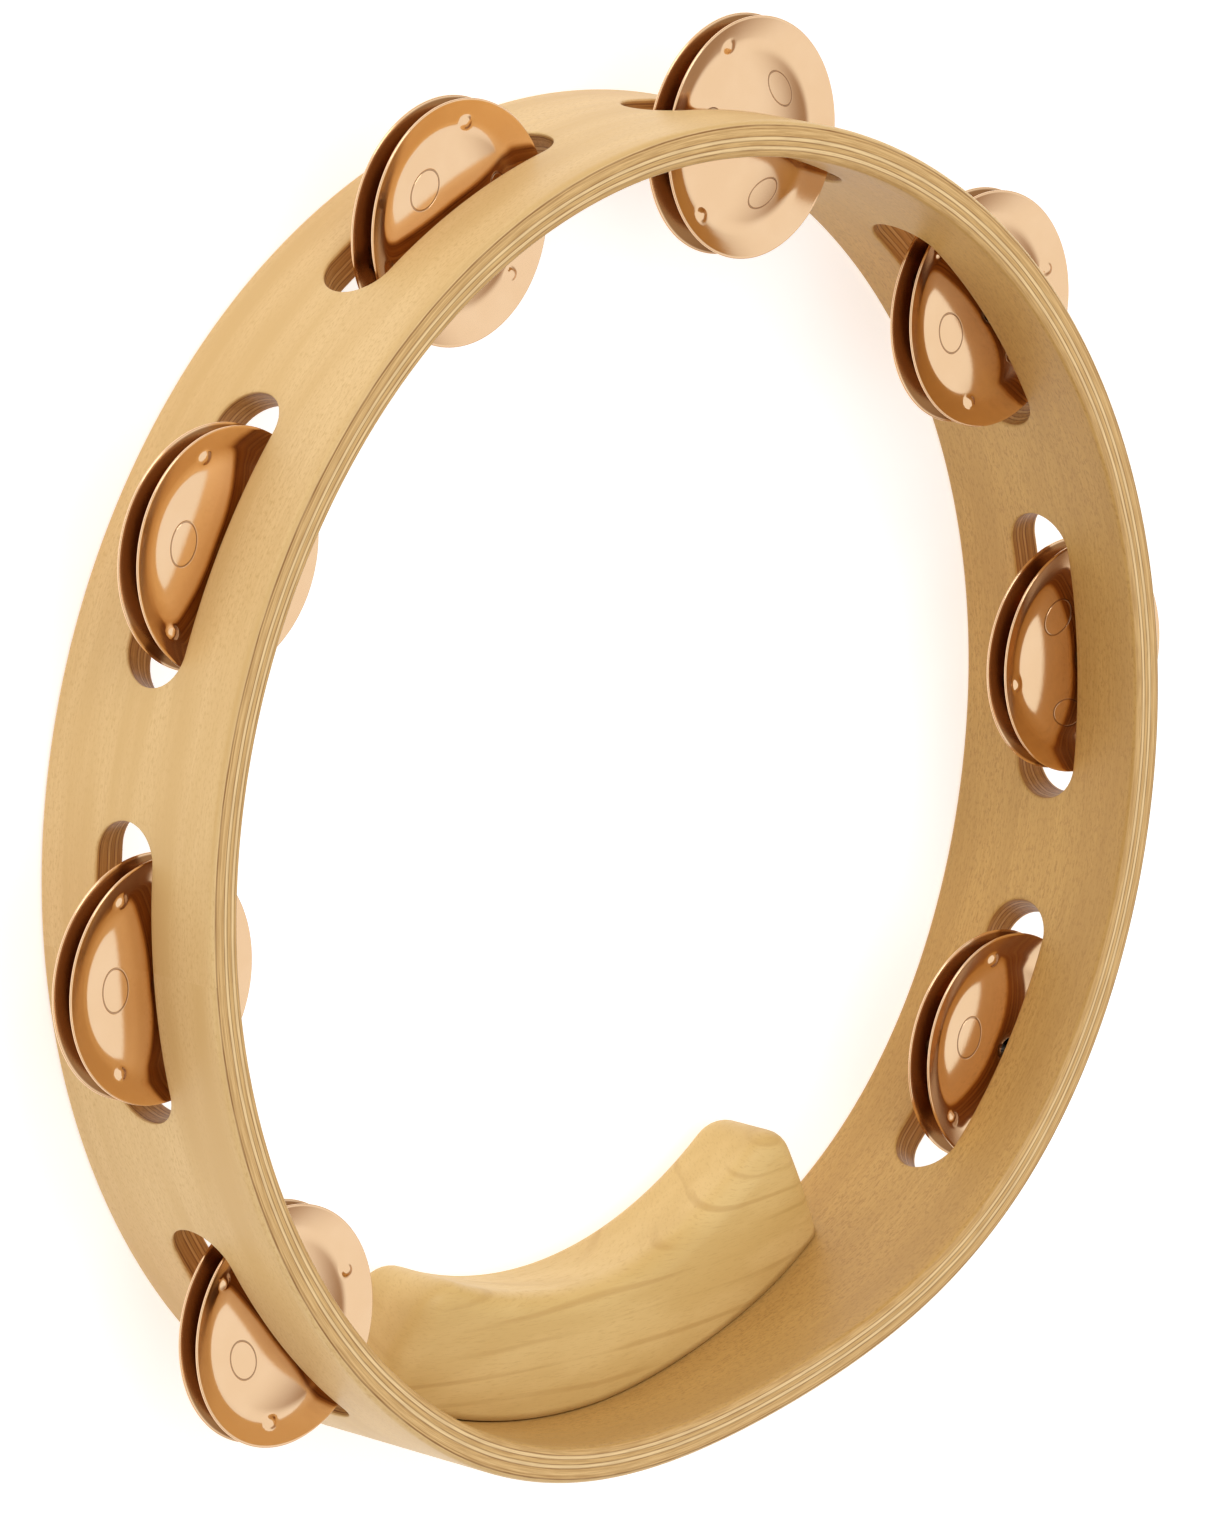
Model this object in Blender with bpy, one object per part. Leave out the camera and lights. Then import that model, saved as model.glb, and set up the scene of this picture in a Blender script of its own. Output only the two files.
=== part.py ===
"""Headless wooden tambourine: a bent plywood hoop with slots, jingle pairs on pins and a glued grip.

Frame: the hoop lies on its back rim at z = 0 with its axis along +Z, and the origin is under the
middle of the whole object. The grip is at -Y and the middle of the jingle strip at +Y. Metres.
"""
from math import atan2, cos, degrees, exp, pi, radians, sin, sqrt

import bmesh
import bpy
from mathutils import Matrix, Vector

MM = 0.001

# Hoop: a round ply strip, a touch oval, that has settled flatter where the grip holds it.
HOOP_R = 127.0 * MM
WALL = 6.8 * MM
DEPTH = 43.6 * MM
RIM_ROUND = 1.3 * MM
OVAL = 0.66 * MM
OVAL_TURN_DEG = 7.0
FLAT_DEPTH = 5.8 * MM
FLAT_HALF_DEG = 33.3
FLAT_REACH_DEG = 34.2
FLAT_AT_DEG = -83.0

# Slots, punched at one pitch along the strip before it is bent.
SLOTS = 8
SLOT_PITCH = 78.8 * MM
SLOT_LENGTH = 56.4 * MM
SLOT_WIDTH = 14.0 * MM
SLOT_Z = DEPTH / 2 - 0.5 * MM

# Pins, driven in from the back rim across the slots.
PIN_R = 1.1 * MM
PIN_FIT = 0.3 * MM
PIN_RECESS = 0.5 * MM
PIN_IN_FRONT_WALL = 7.0 * MM

# Jingles: thin sheet with a domed middle and a flange turned up on the same side as the dome.
JINGLE_R = 22.4 * MM
JINGLE_VALLEY_R = 16.8 * MM
JINGLE_TOP_R = 3.0 * MM
JINGLE_DOME = 2.2 * MM
JINGLE_FLANGE = 1.7 * MM
JINGLE_SHEET = 0.5 * MM
JINGLE_HOLE_R = 2.7 * MM

# How each pair rests on its pin, from the right of the grip round the top to its left:
# height of the pair's middle above the hoop's middle, distance between the two rims and
# shift towards the grip in millimetres, then the tilts of front and back jingle in degrees.
PAIRS = (
    (1.8, 5.0, -0.5, -1.2, 0.8),
    (2.8, 4.6, 0.4, -0.8, -0.2),
    (2.5, 5.0, 0.8, -0.6, 1.6),
    (1.2, 5.3, 1.3, -1.1, 1.7),
    (1.8, 5.3, 1.3, -1.3, 1.7),
    (2.5, 5.0, 1.3, -1.1, 1.3),
    (2.8, 4.6, 0.4, -0.6, 0.2),
    (2.8, 4.5, -0.7, 0.4, -0.1),
)

# Grip: a solid block glued inside the hoop, hollowed for the palm, lower towards its ends.
GRIP_TURN_DEG = -1.9
GRIP_HALF_DEG = 31.7
GRIP_GLUE = 0.3 * MM
GRIP_PALM_X = -7.0 * MM
GRIP_PALM_Y = -10.2 * MM
GRIP_PALM_R = 82.8 * MM
GRIP_TIP_ROUND = 8.0 * MM
GRIP_TIP_LEAST = 0.4 * MM
GRIP_BACK_Z = 1.2 * MM
GRIP_BACK_ROUND = 4.0 * MM
GRIP_FRONT_Z = 23.2 * MM
GRIP_FRONT_ROUND = 5.0 * MM
GRIP_PEAK_X = -14.0 * MM
GRIP_DROP = 9.2 * MM
GRIP_DROP_AT = 70.0 * MM
GRIP_DROP_POWER = 1.6
GRIP_PALM_LIFT = 0.25

# The hoop's axis is set back from the origin so that the whole tambourine is centred on it.
HOOP_AXIS_Y = -8.1 * MM

# Mesh resolution.
HOOP_STEPS = 120
RIM_STEPS = 2
JINGLE_SIDES = 32
DOME_STEPS = 3
PIN_SIDES = 12
SLOT_END_STEPS = 8
GRIP_STEPS = 16
GRIP_TIP_STEPS = 3
GRIP_ROUND_STEPS = 3
ARC_STEPS = 720


def clear_scene():
    for old in list(bpy.data.objects):
        bpy.data.objects.remove(old, do_unlink=True)


def make_material(name, color, roughness, metallic=0.0):
    material = bpy.data.materials.new(name)
    material.use_nodes = True
    shader = material.node_tree.nodes["Principled BSDF"]
    shader.inputs["Base Color"].default_value = (*color, 1.0)
    shader.inputs["Roughness"].default_value = roughness
    shader.inputs["Metallic"].default_value = metallic
    return material


def hoop_radius(angle):
    """Outer radius of the hoop in the direction of angle."""
    off = (degrees(angle) - FLAT_AT_DEG + 180) % 360 - 180
    dip = (1 - (off / FLAT_HALF_DEG) ** 2) * exp(-((off / FLAT_REACH_DEG) ** 2))
    oval = sin(2 * (angle + radians(OVAL_TURN_DEG)))
    return HOOP_R - OVAL * oval - FLAT_DEPTH * dip


def strip_angle(distance):
    """Angle reached after going distance along the middle of the wall from +Y, anticlockwise."""
    turn = 2 * pi / ARC_STEPS
    if distance < 0:
        turn = -turn
    angle = pi / 2
    left = abs(distance)
    while True:
        piece = (hoop_radius(angle + turn / 2) - WALL / 2) * abs(turn)
        if piece > left:
            return angle + turn * left / piece
        left -= piece
        angle += turn


def slot_angles():
    """Directions of the slots' middles, from the right of the grip round the top to its left."""
    return [strip_angle((i - (SLOTS - 1) / 2) * SLOT_PITCH) for i in range(SLOTS)]


def finish_object(name, mesh_maker, material, sharp_deg=35.0):
    """Turn a filled bmesh into a named object with smooth round faces."""
    mesh = bpy.data.meshes.new(name)
    mesh_maker.normal_update()
    mesh_maker.to_mesh(mesh)
    mesh_maker.free()
    if material:
        mesh.materials.append(material)
    mesh.shade_smooth()
    mesh.set_sharp_from_angle(angle=radians(sharp_deg))
    obj = bpy.data.objects.new(name, mesh)
    obj.location.y = HOOP_AXIS_Y
    bpy.context.scene.collection.objects.link(obj)
    return obj


def hide_cutter(obj):
    obj.hide_render = True
    obj.display_type = "WIRE"
    return obj


def cut(obj, cutter):
    modifier = obj.modifiers.new("cut_" + cutter.name, "BOOLEAN")
    modifier.operation = "DIFFERENCE"
    modifier.object = cutter


def join_rings(bm, rings):
    """Close a list of vertex rings into a tube that meets itself."""
    for ring, following in zip(rings, rings[1:] + rings[:1]):
        for a, b, c, d in zip(ring, ring[1:] + ring[:1], following[1:] + following[:1], following):
            bm.faces.new((a, b, c, d))


def wall_section():
    """Outline of the wall's section as (depth from the outer face, z), corners rounded."""
    corners = (
        (RIM_ROUND, RIM_ROUND, 180),
        (WALL - RIM_ROUND, RIM_ROUND, 270),
        (WALL - RIM_ROUND, DEPTH - RIM_ROUND, 0),
        (RIM_ROUND, DEPTH - RIM_ROUND, 90),
    )
    outline = []
    for depth, z, start in corners:
        for step in range(RIM_STEPS + 1):
            turn = radians(start + 90 * step / RIM_STEPS)
            outline.append((depth + RIM_ROUND * cos(turn), z + RIM_ROUND * sin(turn)))
    return outline


def stadium_outline():
    """Outline of a slot in its own plane, (along the strip, across the strip)."""
    end = SLOT_WIDTH / 2
    half = SLOT_LENGTH / 2 - end
    outline = []
    for side, start in ((1, -90), (-1, 90)):
        for step in range(SLOT_END_STEPS + 1):
            turn = radians(start + 180 * step / SLOT_END_STEPS)
            outline.append((side * half + end * cos(turn), end * sin(turn)))
    return outline


def make_slot_cutter(angles):
    """One prism through the wall for each slot."""
    bm = bmesh.new()
    for angle in angles:
        out = Vector((cos(angle), sin(angle), 0))
        along = Vector((-sin(angle), cos(angle), 0))
        middle = hoop_radius(angle) - WALL / 2
        rings = []
        for reach in (middle - 3 * WALL, middle + 3 * WALL):
            base = out * reach + Vector((0, 0, SLOT_Z))
            rings.append([bm.verts.new(base + along * x + Vector((0, 0, y)))
                          for x, y in stadium_outline()])
        inner, outer = rings
        bm.faces.new(list(reversed(inner)))
        bm.faces.new(outer)
        for a, b, c, d in zip(inner, inner[1:] + inner[:1], outer[1:] + outer[:1], outer):
            bm.faces.new((a, b, c, d))
    return hide_cutter(finish_object("slot_cutter", bm, None))


def pin_axis(angle):
    middle = hoop_radius(angle) - WALL / 2
    return Vector((middle * cos(angle), middle * sin(angle), 0))


def pin_top():
    return SLOT_Z + SLOT_WIDTH / 2 + PIN_IN_FRONT_WALL


def add_cylinder(bm, radius, low, high, place):
    middle = Matrix.Translation(place + Vector((0, 0, (low + high) / 2)))
    bmesh.ops.create_cone(bm, cap_ends=True, segments=PIN_SIDES, radius1=radius,
                          radius2=radius, depth=high - low, matrix=middle)


def make_pin_cutter(angles):
    """One blind hole for each pin, open at the back rim."""
    bm = bmesh.new()
    for angle in angles:
        add_cylinder(bm, PIN_R + PIN_FIT, -WALL, pin_top() + PIN_FIT, pin_axis(angle))
    return hide_cutter(finish_object("pin_cutter", bm, None))


def make_hoop(angles, material):
    bm = bmesh.new()
    section = wall_section()
    rings = []
    for step in range(HOOP_STEPS):
        angle = 2 * pi * step / HOOP_STEPS
        radius = hoop_radius(angle)
        rings.append([bm.verts.new(((radius - depth) * cos(angle), (radius - depth) * sin(angle), z))
                      for depth, z in section])
    join_rings(bm, rings)
    bmesh.ops.recalc_face_normals(bm, faces=bm.faces)
    hoop = finish_object("hoop_shell", bm, material)
    cut(hoop, make_slot_cutter(angles))
    cut(hoop, make_pin_cutter(angles))
    return hoop


def make_pin(number, angle, material):
    bm = bmesh.new()
    add_cylinder(bm, PIN_R, PIN_RECESS, pin_top(), Vector((0, 0, 0)))
    pin = finish_object(f"pin_{number}", bm, material)
    pin.location += pin_axis(angle)
    return pin


def jingle_height(radius):
    """Height of the middle of the sheet above the valley between the dome and the flange."""
    if radius > JINGLE_VALLEY_R:
        return JINGLE_FLANGE * (radius - JINGLE_VALLEY_R) / (JINGLE_R - JINGLE_VALLEY_R)
    slope_part = max(radius - JINGLE_TOP_R, 0.0) / (JINGLE_VALLEY_R - JINGLE_TOP_R)
    return JINGLE_DOME * (1 - slope_part ** 2)


def jingle_mesh(name, material):
    """A jingle about its own axis, with its dome and its flange towards +Z."""
    radii = [JINGLE_HOLE_R]
    for step in range(1, DOME_STEPS + 1):
        radii.append(JINGLE_TOP_R + (JINGLE_VALLEY_R - JINGLE_TOP_R) * step / DOME_STEPS)
    radii.append(JINGLE_R)
    under = [(r, jingle_height(r) - JINGLE_SHEET / 2) for r in radii]
    over = [(r, jingle_height(r) + JINGLE_SHEET / 2) for r in reversed(radii)]
    bm = bmesh.new()
    rings = []
    for side in range(JINGLE_SIDES):
        turn = 2 * pi * side / JINGLE_SIDES
        rings.append([bm.verts.new((r * cos(turn), r * sin(turn), z)) for r, z in under + over])
    join_rings(bm, rings)
    bmesh.ops.recalc_face_normals(bm, faces=bm.faces)
    return finish_object(name, bm, material, sharp_deg=25.0)


def make_pair(number, angle, rest, material):
    """The two jingles of one slot, their domes facing away from each other."""
    height, spread, hang, front_tilt, back_tilt = rest
    place = pin_axis(angle) + Vector((0, -hang * MM, DEPTH / 2 + height * MM))
    flat = spread * MM / 2 - JINGLE_FLANGE
    front = jingle_mesh(f"jingle_front_{number}", material)
    front.location += place + Vector((0, 0, flat))
    front.rotation_euler.x = radians(front_tilt)
    back = jingle_mesh(f"jingle_back_{number}", material)
    back.location += place - Vector((0, 0, flat))
    back.rotation_euler.x = radians(back_tilt) + pi


def grip_tip(side, offset):
    """Centre of the circle that touches the palm and the end face of one side, offset from both."""
    end = radians(GRIP_HALF_DEG)
    along_end = Vector((side * sin(end), -cos(end)))
    inwards = Vector((-side * cos(end), -sin(end)))
    to_centre = Vector((GRIP_PALM_X, GRIP_PALM_Y)) - offset * inwards
    along = along_end.dot(to_centre)
    reach = (GRIP_PALM_R + offset) ** 2 - to_centre.length_squared
    return along_end * (along + sqrt(along ** 2 + reach)) + offset * inwards


def grip_palm(inset):
    """Palm side from tip to tip, drawn in by inset, with both tips rounded."""
    rounding = max(GRIP_TIP_ROUND - inset, GRIP_TIP_LEAST)
    centre = Vector((GRIP_PALM_X, GRIP_PALM_Y))
    left, right = grip_tip(-1, inset + rounding), grip_tip(1, inset + rounding)
    from_turn = atan2(left.x - centre.x, centre.y - left.y)
    to_turn = atan2(right.x - centre.x, centre.y - right.y)
    arc = []
    for step in range(GRIP_STEPS + 1):
        turn = from_turn + (to_turn - from_turn) * step / GRIP_STEPS
        arc.append(centre + (GRIP_PALM_R + inset) * Vector((sin(turn), -cos(turn))))
    end = radians(GRIP_HALF_DEG)
    corners = []
    for tip, start, stop in ((left, from_turn + pi / 2, pi - end), (right, to_turn + pi / 2, end)):
        corners.append([tip + rounding * Vector((cos(turn), sin(turn))) for turn in
                        (start + (stop - start) * step / GRIP_TIP_STEPS
                         for step in range(1, GRIP_TIP_STEPS + 1))])
    return list(reversed(corners[0])) + arc + corners[1]


def grip_slice(inset):
    """Foot and palm of the grip at one height, as two lists of as many points."""
    turn = Matrix.Rotation(radians(GRIP_TURN_DEG), 2)
    palm = [turn @ p for p in grip_palm(inset)]
    middle = radians(-90 + GRIP_TURN_DEG)
    half = radians(GRIP_HALF_DEG) - inset / (HOOP_R - WALL)
    foot = []
    for step in range(len(palm)):
        angle = middle + half * (2 * step / (len(palm) - 1) - 1)
        reach = hoop_radius(angle) - WALL - GRIP_GLUE
        foot.append(Vector((reach * cos(angle), reach * sin(angle))))
    return foot, palm


def grip_front_z(point):
    """Height of the grip's front face, which falls away towards its ends, least at the palm."""
    drop = GRIP_DROP * (abs(point.x - GRIP_PEAK_X) / GRIP_DROP_AT) ** GRIP_DROP_POWER
    inwards = HOOP_R - WALL - point.length
    return GRIP_FRONT_Z - drop + GRIP_PALM_LIFT * inwards * (point.x / GRIP_DROP_AT) ** 2


def grip_levels():
    """The grip's slices from back to front as (inset, height above the back, depth below the front)."""
    levels = []
    for step in range(GRIP_ROUND_STEPS + 1):
        turn = pi / 2 * step / GRIP_ROUND_STEPS
        levels.append((GRIP_BACK_ROUND * (1 - sin(turn)), GRIP_BACK_ROUND * (1 - cos(turn)), None))
    for step in range(GRIP_ROUND_STEPS + 1):
        turn = pi / 2 * step / GRIP_ROUND_STEPS
        levels.append((GRIP_FRONT_ROUND * (1 - cos(turn)), None, GRIP_FRONT_ROUND * (1 - sin(turn))))
    return levels


def make_grip(material):
    bm = bmesh.new()
    rings = []
    for inset, above, below in grip_levels():
        foot, palm = grip_slice(inset)
        ring = []
        for point in foot + list(reversed(palm)):
            z = GRIP_BACK_Z + above if below is None else grip_front_z(point) - below
            ring.append(bm.verts.new((point.x, point.y, z)))
        rings.append(ring)
    for low, high in zip(rings, rings[1:]):
        for a, b, c, d in zip(low, low[1:] + low[:1], high[1:] + high[:1], high):
            bm.faces.new((a, b, c, d))
    count = len(rings[0])
    for ring in (rings[0], rings[-1]):
        for i in range(count // 2 - 1):
            bm.faces.new((ring[i], ring[i + 1], ring[count - 2 - i], ring[count - 1 - i]))
    bmesh.ops.recalc_face_normals(bm, faces=bm.faces)
    return finish_object("hand_grip", bm, material)


def main():
    clear_scene()
    ply = make_material("birch_ply", (0.72, 0.52, 0.30), 0.45)
    maple = make_material("pale_maple", (0.78, 0.62, 0.38), 0.5)
    bronze = make_material("polished_bronze", (0.90, 0.55, 0.36), 0.12, 1.0)
    steel = make_material("pin_steel", (0.60, 0.60, 0.60), 0.3, 1.0)
    angles = slot_angles()
    make_hoop(angles, ply)
    make_grip(maple)
    for number, angle in enumerate(angles, 1):
        make_pin(number, angle, steel)
        make_pair(number, angle, PAIRS[number - 1], bronze)


main()
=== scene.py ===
"""Looks of the headless wooden tambourine.

A ply hoop with eight slots, a pair of bronze jingles on a pin in each slot, and a maple grip.
Lengths are in metres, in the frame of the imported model. Names in _DEG are angles in degrees.
"""
from math import asin, atan2, cos, degrees, exp, pi, radians, sin, sqrt

import bmesh
import bpy
from mathutils import Matrix, Vector


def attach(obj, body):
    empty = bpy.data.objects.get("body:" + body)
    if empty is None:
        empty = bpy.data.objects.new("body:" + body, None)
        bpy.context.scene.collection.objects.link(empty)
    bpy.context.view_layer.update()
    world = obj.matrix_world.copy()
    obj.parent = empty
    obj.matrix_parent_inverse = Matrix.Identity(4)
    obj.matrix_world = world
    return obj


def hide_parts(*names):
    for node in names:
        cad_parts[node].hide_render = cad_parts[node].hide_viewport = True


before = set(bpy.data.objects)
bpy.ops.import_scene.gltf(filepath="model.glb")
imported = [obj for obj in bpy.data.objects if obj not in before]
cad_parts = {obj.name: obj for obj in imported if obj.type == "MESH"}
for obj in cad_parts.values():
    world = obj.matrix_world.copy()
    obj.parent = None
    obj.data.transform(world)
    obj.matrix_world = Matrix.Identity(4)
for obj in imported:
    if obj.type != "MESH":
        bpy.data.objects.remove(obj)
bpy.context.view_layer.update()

MM = 0.001
PER_MM = 1000.0

# ---------------------------------------------------------------- the object's dimensions
# Hoop: a round ply strip, a touch oval, flatter where the grip holds it.
HOOP_AXIS_Y = -8.1 * MM
HOOP_R = 127.0 * MM
WALL = 6.8 * MM
DEPTH = 43.6 * MM
RIM_ROUND = 1.3 * MM
OVAL = 0.66 * MM
OVAL_TURN_DEG = 7.0
FLAT_DEPTH = 5.8 * MM
FLAT_HALF_DEG = 33.3
FLAT_REACH_DEG = 34.2
FLAT_AT_DEG = -83.0

# Slots and the pins across them.
SLOTS = 8
SLOT_PITCH = 78.8 * MM
SLOT_LENGTH = 56.4 * MM
SLOT_WIDTH = 14.0 * MM
SLOT_Z = DEPTH / 2 - 0.5 * MM
PIN_R = 1.1 * MM
PIN_FIT = 0.3 * MM
PIN_RECESS = 0.5 * MM
PIN_BORE = 3.0 * MM
PIN_IN_FRONT_WALL = 7.0 * MM

# Jingles.
JINGLE_R = 22.4 * MM
JINGLE_VALLEY_R = 16.8 * MM
JINGLE_TOP_R = 3.0 * MM
JINGLE_DOME = 2.2 * MM
JINGLE_FLANGE = 1.7 * MM
JINGLE_SHEET = 0.5 * MM
JINGLE_HOLE_R = 2.7 * MM

# For each pair, from the right of the grip round the top to its left: height above the hoop's
# middle, distance between rims and shift towards the grip in millimetres, then the tilts of the
# front and back jingle in degrees.
PAIRS = (
    (1.8, 5.0, -0.5, -1.2, 0.8),
    (2.8, 4.6, 0.4, -0.8, -0.2),
    (2.5, 5.0, 0.8, -0.6, 1.6),
    (1.2, 5.3, 1.3, -1.1, 1.7),
    (1.8, 5.3, 1.3, -1.3, 1.7),
    (2.5, 5.0, 1.3, -1.1, 1.3),
    (2.8, 4.6, 0.4, -0.6, 0.2),
    (2.8, 4.5, -0.7, 0.4, -0.1),
)

# Grip.
GRIP_TURN_DEG = -1.9
GRIP_HALF_DEG = 31.7
GRIP_GLUE = 0.3 * MM
GRIP_PALM_X = -7.0 * MM
GRIP_PALM_Y = -10.2 * MM
GRIP_PALM_R = 82.8 * MM
GRIP_TIP_ROUND = 8.0 * MM
GRIP_TIP_LEAST = 0.4 * MM
GRIP_BACK_Z = 1.2 * MM
GRIP_BACK_ROUND = 4.0 * MM
GRIP_FRONT_Z = 23.2 * MM
GRIP_FRONT_ROUND = 5.0 * MM
GRIP_PEAK_X = -14.0 * MM
GRIP_DROP = 9.2 * MM
GRIP_DROP_AT = 70.0 * MM
GRIP_DROP_POWER = 1.6
GRIP_PALM_LIFT = 0.25

# ---------------------------------------------------------------- detail beyond the CAD
# Hoop: eased edges of the slots, and the grid of its mesh, with a patch round each slot.
SLOT_EASE = 0.35 * MM
PATCH_HALF_DEG = 15.8
PATCH_COLUMNS = 64
PATCH_SHARES = (0.28, 0.55, 0.78, 0.93)
WALL_ROWS = 24
WALL_STEPS = 6
FLAT_STEPS = 4
GAP_STEP_DEG = 0.5
RIM_STEPS = 6
SHARP_DEG = 50

# Jingles: dents, curl of the flange, eased valley and rims, and a stamped oval.
JINGLE_SIDES = 192
JINGLE_EDGE = 0.2 * MM
HOLE_EDGE = 0.15 * MM
HOLE_SPARE = 0.6 * MM
DENT_R = 17.9 * MM
DENT_SIZE = 1.15 * MM
DENT_RISE = 0.75 * MM
DENTS = 3
FLANGE_CURL = 1.35
VALLEY_EASE = 1.5 * MM
STAMP_R = 11.2 * MM
STAMP_HALF_OUT = 2.6 * MM
STAMP_HALF_ROUND = 4.0 * MM
STAMP_LINE = 0.11 * MM
# Turn of each jingle about its pin, front ones then back ones.
FRONT_SPIN_DEG = (94, 64.5, 12, 101.5, 76.5, 100, 114.5, 18)
BACK_SPIN_DEG = (75, 33, 88, 17, 49, 111, 66, 5)

# Grid of the grip's mesh, and sides and rounding of the pins.
GRIP_STEPS = 96
GRIP_TIP_STEPS = 10
GRIP_ROUND_STEPS = 12
GRIP_ROWS = 14
PIN_SIDES = 32
PIN_EASE = 0.2 * MM

# Studio: elevations between which the air brightens, its light there, and the floor's own glow.
AIR_LOW_DEG = 12
AIR_HIGH_DEG = 44
AIR_LOW = (0.40, 0.28, 0.19)
AIR_HIGH = (1.0, 1.0, 1.0)
FLOOR_HALF = 8.0
FLOOR_DROP = 0.3 * MM
FLOOR_GLOW = 0.56
KEY_POWER = 69
KEY_PLACE = (-0.9, 4.4, 3.2)
KEY_SIZE = (2.6, 2.0)

# Camera: lens and sensor in millimetres, shift in widths of the frame, place, and the two
# directions along the frame's sides.
CAMERA_LENS = 272.2
CAMERA_SENSOR = 36.0
CAMERA_SHIFT = (-0.00825, 0.0199)
CAMERA_PLACE = (-1.45043, 0.61729, 1.42186)
CAMERA_RIGHT = (0.6841, -0.0434, 0.7281)
CAMERA_UP = (0.24452, 0.95411, -0.17287)


# ---------------------------------------------------------------- small helpers
def hoop_radius(angle):
    """Outer radius of the hoop in the direction of angle."""
    off = (degrees(angle) - FLAT_AT_DEG + 180) % 360 - 180
    dip = (1 - (off / FLAT_HALF_DEG) ** 2) * exp(-((off / FLAT_REACH_DEG) ** 2))
    oval = sin(2 * (angle + radians(OVAL_TURN_DEG)))
    return HOOP_R - OVAL * oval - FLAT_DEPTH * dip


def strip_angle(distance):
    """Angle reached after going distance along the middle of the wall from +Y, anticlockwise."""
    turn = pi / 360
    if distance < 0:
        turn = -turn
    angle = pi / 2
    left = abs(distance)
    while True:
        piece = (hoop_radius(angle + turn / 2) - WALL / 2) * abs(turn)
        if piece > left:
            return angle + turn * left / piece
        left -= piece
        angle += turn


SLOT_ANGLES = [strip_angle((i - (SLOTS - 1) / 2) * SLOT_PITCH) for i in range(SLOTS)]


def pin_axis(angle):
    """Point at z = 0 on the axis of the pin in the slot at angle, in the middle of the wall."""
    middle = hoop_radius(angle) - WALL / 2
    return Vector((middle * cos(angle), middle * sin(angle) + HOOP_AXIS_Y, 0))


def make_object(name, bm, material):
    """Turn a filled bmesh into a smooth named object, its mesh already in place."""
    mesh = bpy.data.meshes.new(name)
    bmesh.ops.recalc_face_normals(bm, faces=bm.faces)
    bm.to_mesh(mesh)
    bm.free()
    mesh.materials.append(material)
    mesh.shade_smooth()
    obj = bpy.data.objects.new(name, mesh)
    bpy.context.scene.collection.objects.link(obj)
    return obj


# ---------------------------------------------------------------- node helpers
class Nodes:
    """Short ways to add nodes to one material."""

    def __init__(self, name):
        self.material = bpy.data.materials.new(name)
        self.material.use_nodes = True
        self.tree = self.material.node_tree
        self.shader = self.tree.nodes["Principled BSDF"]

    def put(self, node, index, value):
        socket = node.inputs[index]
        if isinstance(value, bpy.types.NodeSocket):
            self.tree.links.new(value, socket)
        elif value is not None:
            socket.default_value = value

    def math(self, operation, a, b=None, c=None, clamp=False):
        node = self.tree.nodes.new("ShaderNodeMath")
        node.operation = operation
        node.use_clamp = clamp
        for index, value in enumerate((a, b, c)):
            self.put(node, index, value)
        return node.outputs[0]

    def smooth(self, value, low, high, to_low=0.0, to_high=1.0):
        """Value eased from to_low at low to to_high at high."""
        node = self.tree.nodes.new("ShaderNodeMapRange")
        node.interpolation_type = "SMOOTHSTEP"
        for index, entry in enumerate((value, low, high, to_low, to_high)):
            self.put(node, index, entry)
        return node.outputs[0]

    def vector(self, x, y, z):
        node = self.tree.nodes.new("ShaderNodeCombineXYZ")
        for index, value in enumerate((x, y, z)):
            self.put(node, index, value)
        return node.outputs[0]

    def noise(self, place, scale, detail=2.0, roughness=0.5, distortion=0.0):
        node = self.tree.nodes.new("ShaderNodeTexNoise")
        self.put(node, "Vector", place)
        self.put(node, "Scale", scale)
        self.put(node, "Detail", detail)
        self.put(node, "Roughness", roughness)
        self.put(node, "Distortion", distortion)
        return node.outputs[0]

    def mix(self, factor, a, b, blend="MIX"):
        node = self.tree.nodes.new("ShaderNodeMix")
        node.data_type = "RGBA"
        node.blend_type = blend
        self.put(node, 0, factor)
        self.put(node, 6, a)
        self.put(node, 7, b)
        return node.outputs[2]

    def ramp(self, value, stops):
        """Colour ramp through (position, linear colour) stops."""
        node = self.tree.nodes.new("ShaderNodeValToRGB")
        self.put(node, 0, value)
        elements = node.color_ramp.elements
        while len(elements) < len(stops):
            elements.new(1.0)
        for element, (position, color) in zip(elements, stops):
            element.position = position
            element.color = (*color, 1.0)
        return node.outputs[0]

    def object_xyz(self):
        place = self.tree.nodes.new("ShaderNodeTexCoord").outputs["Object"]
        split = self.tree.nodes.new("ShaderNodeSeparateXYZ")
        self.put(split, 0, place)
        return place, split.outputs[0], split.outputs[1], split.outputs[2]

    def attribute(self, name):
        node = self.tree.nodes.new("ShaderNodeAttribute")
        node.attribute_name = name
        return node.outputs["Fac"]

    def bump(self, height, distance, strength=1.0, normal=None):
        node = self.tree.nodes.new("ShaderNodeBump")
        self.put(node, "Strength", strength)
        self.put(node, "Distance", distance)
        self.put(node, "Height", height)
        if normal is not None:
            self.put(node, "Normal", normal)
        return node.outputs[0]

    def finish(self, color, roughness, normal=None, **fixed):
        self.put(self.shader, "Base Color", color)
        self.put(self.shader, "Roughness", roughness)
        if normal is not None:
            self.put(self.shader, "Normal", normal)
        for socket, value in fixed.items():
            self.shader.inputs[socket.replace("_", " ")].default_value = value
        return self.material


def srgb(red, green, blue):
    """Linear colour of an 8-bit display colour."""
    out = []
    for value in (red, green, blue):
        value /= 255
        out.append(value / 12.92 if value <= 0.04045 else ((value + 0.055) / 1.055) ** 2.4)
    return tuple(out)


def rgba(color):
    """Linear colour with full alpha, for a colour socket."""
    return (*color, 1.0)


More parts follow.
